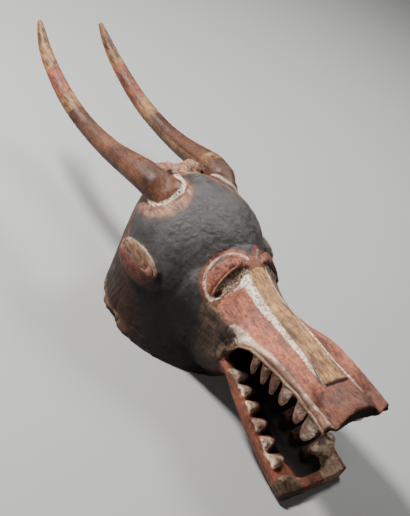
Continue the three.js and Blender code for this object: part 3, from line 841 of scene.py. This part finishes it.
def dirt_and_shade(spots):
    """How dark each place is made, from 0 to 1: partly old dirt, partly painted shade low on the head, on the
    snout's root, in the lower jaw, on the ear's shell and on the nose.
    """
    dark = np.full(len(spots.side), 0.05)
    # Painted shade on the nose ahead of the nostril slit and on its front.
    dark += ease(0.3, 0.335, spots.forward) * (spots.up > spots.lip_edge) * 0.6
    jaw = (spots.forward > 0.165) & (spots.up < spots.lip_edge - 0.002)
    low_jaw = jaw & (spots.up < spots.jaw_top + 0.001)
    jaw_front = jaw & (spots.forward > 0.362) & (spots.up < 0.05)
    # A darker lower jaw, with painted shade in its trough and, darkest, at its near front corner under the
    # upper jaw.
    dark[jaw] = 0.08
    dark[low_jaw & (spots.side > 0.06)] = 0.3
    dark[low_jaw & (spots.side < 0.06)] = 0.5
    dark[jaw_front] = 0.45
    dark[jaw_front & (spots.left < -0.028)] = 0.85
    # Darker on the ridge's near flank.
    ridge = (spots.forward > 0.11) & (spots.forward < SLIT) & (spots.up > RIDGE_UP)
    flank = (spots.side < spots.foot - 0.001) & (spots.side > spots.foot - 0.006)
    dark[ridge & spots.near & flank] = 0.45
    lid = (spots.eye_ring < 1.3) & spots.by_eye & (spots.eye_back > 0)
    dark[lid] = 0.2
    dark[lid & (spots.eye_ring > 1.08)] = 0.45
    dark[(spots.forward > 0.15) & (spots.left < -0.062) & (spots.up > spots.lip_edge + 0.003)] = 0.3
    # A little darker ear, with painted shade on its shell's lower and outer parts.
    ear = spots.ear < 1.2
    dark[ear] = 0.15
    dark[ear & (spots.scoop > 1.12) & ((spots.ear_up < 0.004) | (spots.ear_out > 0.02))] = 0.75
    # Painted shade low on the head, darkest toward the rim; the rim's rear is left lighter where it is worn
    # bare.
    head = spots.outer & (spots.forward < spots.skull_front + 0.004) & ~spots.on_horn & (spots.ear > 1.2)
    dark += head * ease(0.18, 0.09, spots.up)
    dark -= head * ease(0.022, 0.008, spots.up) * ease(0.05, -0.02, spots.forward) * 0.55
    # Painted shade on the snout's root, below the eye and above the jaws.
    root = spots.outer & (spots.forward < 0.176) & (spots.forward > spots.skull_front) & (spots.up < 0.14)
    dark[root] += 0.75
    # Darker horns, the far horn darkest.
    dark[spots.on_horn] = 0.28
    dark[spots.on_horn & (spots.forward < -0.3)] = 0.38
    dark[spots.on_horn & ~spots.near] = 0.52
    # Darker inside the mask.
    dark[~spots.outer] = 0.6
    return np.clip(dark, 0, 1)


def rubbed_edges_and_hollows(mesh, spots, links):
    """Millimetres that each point stands proud of the skin round it, kept low on the dome. Paint is rubbed
    off the proud edges, and the sunk hollows get painted shade.
    """
    points = read(mesh, "co")
    around = points
    for _ in range(4):
        around = ring_mean(links, around)
    edge = mm(np.einsum("ij,ij->i", points - around, read(mesh, "normal")))
    dome = (spots.forward < spots.skull_front + 0.03) & (spots.up > 0.03)
    dome &= (spots.eye_ring > 1.2) & (spots.ear > 1.2)
    edge[dome] = np.minimum(edge[dome], 0.1)
    return edge


def add_field(mesh, name, values):
    layer = mesh.attributes.new(name, "FLOAT", "POINT")
    layer.data.foreach_set("value", np.clip(values, -FIELD_REACH, FIELD_REACH).astype(np.float32))


def paint(mesh):
    """Lays every paint's field on the mesh, with the painted black shade, its rubbed edges and hollows, the
    horns, and darkening that is partly dirt and partly painted shade.
    """
    spots = Spots(mesh)
    links = neighbours(mesh)
    fields = {
        "white": white_paint, "red": red_paint, "black": black_paint, "ochre": ochre_paint,
        "olive": olive_dirt, "tan": tan_edge, "cream": cream_paint, "painted_shade_black": painted_shade_black, "umber": umber_crust,
        "bare": bare_wood, "clay": clay_crust,
    }
    for name, field in fields.items():
        add_field(mesh, name, ring_mean(links, field(spots)[:, None])[:, 0])
    add_field(mesh, "edge", rubbed_edges_and_hollows(mesh, spots, links))
    add_field(mesh, "horn", mm(spots.horn))
    dark = dirt_and_shade(spots)[:, None]
    for _ in range(3):
        dark = ring_mean(links, dark)
    add_field(mesh, "dirt_and_shade", dark[:, 0])


# Materials

# Old wood under the paint and bare wood, each as its light and its dark grain.
OLD_WOOD = {"Light": (0.2, 0.08, 0.043, 1), "Dark": (0.04, 0.018, 0.012, 1)}
BARE_WOOD = {"Light": (0.36, 0.21, 0.12, 1), "Dark": (0.1, 0.045, 0.025, 1)}

# The paints in the order they lie, the lowest first. Each has its name, the noise that mottles
# it and the stretch of that noise that counts, its dark and its light colour, and then how
# ragged its edge is, how soft it is and how much of the paint is worn away. The white's wear is
# finer than the others', which share one scale.
WEAR_SCALE = 160.0
WHITE_WEAR_SCALE = 240.0
PAINTS = (
    ("black", "patches", (0.3, 0.72), (0.028, 0.027, 0.028, 1), (0.068, 0.063, 0.061, 1), 5.0, 7.0, 0.3),
    ("clay", "streaks", (0.38, 0.62), (0.08, 0.035, 0.024, 1), (0.34, 0.18, 0.115, 1), 4.0, 4.0, 0.4),
    ("red", "streaks", (0.38, 0.62), (0.1, 0.032, 0.021, 1), (0.43, 0.135, 0.08, 1), 2.4, 2.4, 0.43),
    ("olive", "streaks", (0.38, 0.62), (0.045, 0.03, 0.02, 1), (0.21, 0.14, 0.092, 1), 2.5, 4.0, 0.3),
    ("ochre", "streaks", (0.38, 0.62), (0.1, 0.04, 0.016, 1), (0.5, 0.27, 0.115, 1), 1.5, 1.5, 0.38),
    ("cream", "patches", (0.38, 0.64), (0.22, 0.145, 0.105, 1), (0.84, 0.68, 0.52, 1), 1.5, 2.0, 0.42),
    ("white", "patches", (0.3, 0.6), (0.56, 0.45, 0.34, 1), (0.92, 0.83, 0.7, 1), 1.6, 1.0, 0.465,
     WHITE_WEAR_SCALE),
    ("umber", "flecks", (0.4, 0.6), (0.06, 0.042, 0.03, 1), (0.42, 0.31, 0.22, 1), 1.0, 1.5, 0.1),
    ("tan", "streaks", (0.34, 0.6), (0.2, 0.11, 0.065, 1), (0.6, 0.42, 0.27, 1), 1.2, 1.2, 0.4),
)

# Black for the painted shade in the mouth and throat, on the nose's front and in the nostril slit.
PAINTED_SHADE_BLACK = (0.006, 0.005, 0.005, 1)
# Painted shade in the hollows.
HOLLOW_SHADE_COLOUR = (0.016, 0.011, 0.01, 1)
CRACK_COLOUR = (0.012, 0.01, 0.009, 1)
GRIME_TINT = (0.3, 0.26, 0.24, 1)
# The tint of old dirt and painted shade.
DIRT_AND_SHADE_TINT = (0.1, 0.078, 0.074, 1)
SHEEN = 0.22
BUMP_STRENGTH, BUMP_DEPTH = 0.8, 0.0016


def feed(tree, socket, value):
    """Links a node's output to the socket, or sets the socket to a plain value."""
    if hasattr(value, "is_output"):
        tree.links.new(value, socket)
    else:
        socket.default_value = value


def add_node(tree, kind, values=None, **settings):
    node = tree.nodes.new(kind)
    for name, value in settings.items():
        setattr(node, name, value)
    for name, value in (values or {}).items():
        feed(tree, node.inputs[name], value)
    return node


def new_group(name, inputs, outputs):
    """An empty node group with those sockets, and its two end nodes."""
    tree = bpy.data.node_groups.new(name, "ShaderNodeTree")
    kinds = {"value": "NodeSocketFloat", "colour": "NodeSocketColor", "vector": "NodeSocketVector"}
    for label, kind, value in inputs:
        socket = tree.interface.new_socket(label, in_out="INPUT", socket_type=kinds[kind])
        if value is not None:
            socket.default_value = value
    for label, kind in outputs:
        tree.interface.new_socket(label, in_out="OUTPUT", socket_type=kinds[kind])
    return tree, tree.nodes.new("NodeGroupInput"), tree.nodes.new("NodeGroupOutput")


def use_group(tree, group, values):
    return add_node(tree, "ShaderNodeGroup", values, node_tree=group)


def maths(tree, operation, first, second):
    node = tree.nodes.new("ShaderNodeMath")
    node.operation = operation
    feed(tree, node.inputs[0], first)
    feed(tree, node.inputs[1], second)
    return node.outputs[0]


def plus(tree, first, second):
    return maths(tree, "ADD", first, second)


def minus(tree, first, second):
    return maths(tree, "SUBTRACT", first, second)


def times(tree, first, second):
    return maths(tree, "MULTIPLY", first, second)


def spread(tree, value, low, high, start=0.0, end=1.0):
    """A smooth step from start, where the value is at low, to end, where it is at high."""
    node = add_node(
        tree, "ShaderNodeMapRange",
        {"Value": value, "From Min": low, "From Max": high, "To Min": start, "To Max": end},
        interpolation_type="SMOOTHSTEP",
    )
    return node.outputs["Result"]


def mix(tree, share, first, second, blend="MIX"):
    node = tree.nodes.new("ShaderNodeMix")
    node.data_type = "RGBA"
    node.blend_type = blend
    for index, value in ((0, share), (6, first), (7, second)):
        feed(tree, node.inputs[index], value)
    return node.outputs[2]


def tinted(tree, colour, tint):
    return mix(tree, 1.0, colour, tint, "MULTIPLY")


def speckle(tree, where, scale, detail=4.0, rough=0.6, stretch=None):
    """Noise from 0 to 1 on the piece's own coordinates, drawn out along its length if asked."""
    if stretch is not None:
        where = add_node(tree, "ShaderNodeMapping", {"Vector": where, "Scale": stretch}).outputs[0]
    node = add_node(
        tree, "ShaderNodeTexNoise", {"Vector": where, "Scale": scale, "Detail": detail, "Roughness": rough},
    )
    return node.outputs["Fac"]


def worn_paint_group():
    """A paint's cover: its field with a ragged edge, thinned by wear and rubbed off on edges."""
    tree, start, end = new_group(
        "worn_paint",
        [("Field", "value", 0.0), ("Where", "vector", None), ("Ragged", "value", 3.0), ("Soft", "value", 1.0),
         ("Wear", "value", 0.3), ("Scale", "value", WEAR_SCALE), ("Edge", "value", 0.0)],
        [("Cover", "value")],
    )
    given = start.outputs
    coarse = speckle(tree, given["Where"], 60.0, 3.0)
    fine = speckle(tree, given["Where"], given["Scale"], 6.0, 0.7)
    both = plus(tree, times(tree, coarse, 0.6), times(tree, fine, 0.7))
    shake = times(tree, minus(tree, both, 0.65), times(tree, given["Ragged"], 4.0))
    reach = plus(tree, given["Field"], shake)
    shape = spread(tree, reach, times(tree, given["Soft"], -1.0), given["Soft"])
    holes = minus(tree, fine, minus(tree, 1.0, given["Wear"]))
    kept = spread(tree, holes, -0.12, 0.14, 1.0, 0.0)
    rubbed = spread(tree, plus(tree, given["Edge"], times(tree, fine, 0.5)), 0.55, 1.1, 1.0, 0.35)
    tree.links.new(times(tree, times(tree, shape, kept), rubbed), end.inputs["Cover"])
    return tree


def wood_group():
    """Old wood: long grain along the mask, with darker pores and broad stains."""
    tree, start, end = new_group(
        "old_wood",
        [("Where", "vector", None), ("Light", "colour", None), ("Dark", "colour", None)],
        [("Colour", "colour"), ("Grain", "value")],
    )
    given = start.outputs
    grain = speckle(tree, given["Where"], 90.0, 6.0, 0.65, (6.0, 0.7, 6.0))
    stain = speckle(tree, given["Where"], 18.0, 4.0)
    pores = speckle(tree, given["Where"], 420.0, 3.0, 0.7, (1.0, 0.25, 1.0))
    depth = plus(tree, times(tree, grain, 0.55), times(tree, stain, 0.45))
    colour = mix(tree, spread(tree, depth, 0.34, 0.66), given["Dark"], given["Light"])
    colour = mix(tree, spread(tree, pores, 0.62, 0.78, 0.0, 0.5), colour, given["Dark"])
    tree.links.new(colour, end.inputs["Colour"])
    tree.links.new(plus(tree, grain, times(tree, pores, 0.4)), end.inputs["Grain"])
    return tree


def grit_group():
    """The crusty skin of old patina: small wrinkled lumps with dark hollows between them."""
    tree, start, end = new_group(
        "grit", [("Where", "vector", None)], [("Height", "value"), ("Cracks", "value")],
    )
    lumps = speckle(tree, start.outputs["Where"], 250.0, 5.0, 0.7, (0.7, 1.0, 1.5))
    fine = speckle(tree, start.outputs["Where"], 620.0, 3.0, 0.6)
    height = plus(tree, times(tree, lumps, 0.8), times(tree, fine, 0.3))
    tree.links.new(height, end.inputs["Height"])
    tree.links.new(spread(tree, height, 0.53, 0.42), end.inputs["Cracks"])
    return tree


def field_node(tree, name):
    node = add_node(tree, "ShaderNodeAttribute", attribute_name=name, attribute_type="GEOMETRY")
    return node.outputs["Fac"]


def painted_wood():
    """The mask's finish: wood, then its paints one over another, then painted black shade, painted shade in
    hollows, grit, grime, and darkening that is partly dirt and partly painted shade.
    """
    material = bpy.data.materials.new("painted_wood")
    material.use_nodes = True
    tree = material.node_tree
    shader = tree.nodes["Principled BSDF"]
    where = add_node(tree, "ShaderNodeTexCoord").outputs["Object"]
    worn_paint, wood = worn_paint_group(), wood_group()
    edge = field_node(tree, "edge")

    def cover(name, ragged, soft, wear, scale=WEAR_SCALE):
        values = {"Field": field_node(tree, name), "Where": where, "Edge": edge}
        values.update({"Ragged": ragged, "Soft": soft, "Wear": wear, "Scale": scale})
        return use_group(tree, worn_paint, values).outputs["Cover"]

    base = use_group(tree, wood, {"Where": where, **OLD_WOOD})
    bare = use_group(tree, wood, {"Where": where, **BARE_WOOD})
    patches = speckle(tree, where, 34.0, 5.0, 0.65)
    streaks = speckle(tree, where, 60.0, 5.0, 0.7, (4.0, 0.6, 4.0))
    mottles = {
        "patches": patches,
        "streaks": plus(tree, times(tree, patches, 0.5), times(tree, streaks, 0.5)),
        "flecks": speckle(tree, where, 300.0, 4.0, 0.7),
    }
    colour = mix(tree, cover("bare", 3.0, 3.0, 0.42), base.outputs["Colour"], bare.outputs["Colour"])
    covers = {}
    for name, mottle, (low, high), dark, light, *edges in PAINTS:
        covers[name] = cover(name, *edges)
        shade = mix(tree, spread(tree, mottles[mottle], low, high), dark, light)
        colour = mix(tree, covers[name], colour, shade)
    # Painted shade: black in the mouth and throat, on the nose's front and in the nostril slit.
    painted_shade_black_cover = cover("painted_shade_black", 2.0, 4.0, 0.0)
    colour = mix(tree, times(tree, painted_shade_black_cover, 0.95), colour, PAINTED_SHADE_BLACK)

    # Painted shade in hollows: points sunk below the skin round them are darkened.
    colour = mix(tree, spread(tree, edge, -0.12, -0.8, 0.0, 0.85), colour, HOLLOW_SHADE_COLOUR)
    crust = use_group(tree, grit_group(), {"Where": where})
    colour = mix(tree, times(tree, crust.outputs["Cracks"], 0.5), colour, CRACK_COLOUR)
    grime = spread(tree, speckle(tree, where, 120.0, 6.0, 0.7), 0.48, 0.7, 0.0, 0.6)
    colour = mix(tree, grime, colour, tinted(tree, colour, GRIME_TINT))
    # Darkening by the dirt and shade field: partly old dirt, partly painted shade.
    stain = plus(tree, 0.55, times(tree, speckle(tree, where, 26.0, 5.0), 0.9))
    dirt_and_shade_share = times(tree, field_node(tree, "dirt_and_shade"), stain)
    colour = mix(tree, dirt_and_shade_share, colour, tinted(tree, colour, DIRT_AND_SHADE_TINT))
    tree.links.new(colour, shader.inputs["Base Color"])

    dull = plus(tree, times(tree, covers["white"], 0.3), times(tree, painted_shade_black_cover, 0.5))
    rough = spread(tree, plus(tree, patches, dull), 0.3, 0.9, 0.4, 0.92)
    tree.links.new(rough, shader.inputs["Roughness"])
    shader.inputs["Specular IOR Level"].default_value = SHEEN

    off_horn = spread(tree, field_node(tree, "horn"), 1.0, 5.0)
    height = times(tree, crust.outputs["Height"], plus(tree, times(tree, off_horn, 0.8), 0.2))
    height = plus(tree, height, times(tree, base.outputs["Grain"], 0.35))
    height = plus(tree, height, times(tree, covers["white"], 0.3))
    bump = add_node(
        tree, "ShaderNodeBump", {"Height": height, "Strength": BUMP_STRENGTH, "Distance": BUMP_DEPTH},
    )
    tree.links.new(bump.outputs["Normal"], shader.inputs["Normal"])
    return material


def make_mask():
    piece = even_copy(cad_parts["mask"])
    crust_slit(piece.data)
    ease_skin(piece.data)
    carve(piece.data)
    thin_out(piece)
    paint(piece.data)
    piece.data.materials.clear()
    piece.data.materials.append(painted_wood())
    piece.data.polygons.foreach_set("use_smooth", [True] * len(piece.data.polygons))
    piece.data.update()
    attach(piece, "root")
    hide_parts("mask")


add_camera()
add_studio()
add_floor()
make_mask()
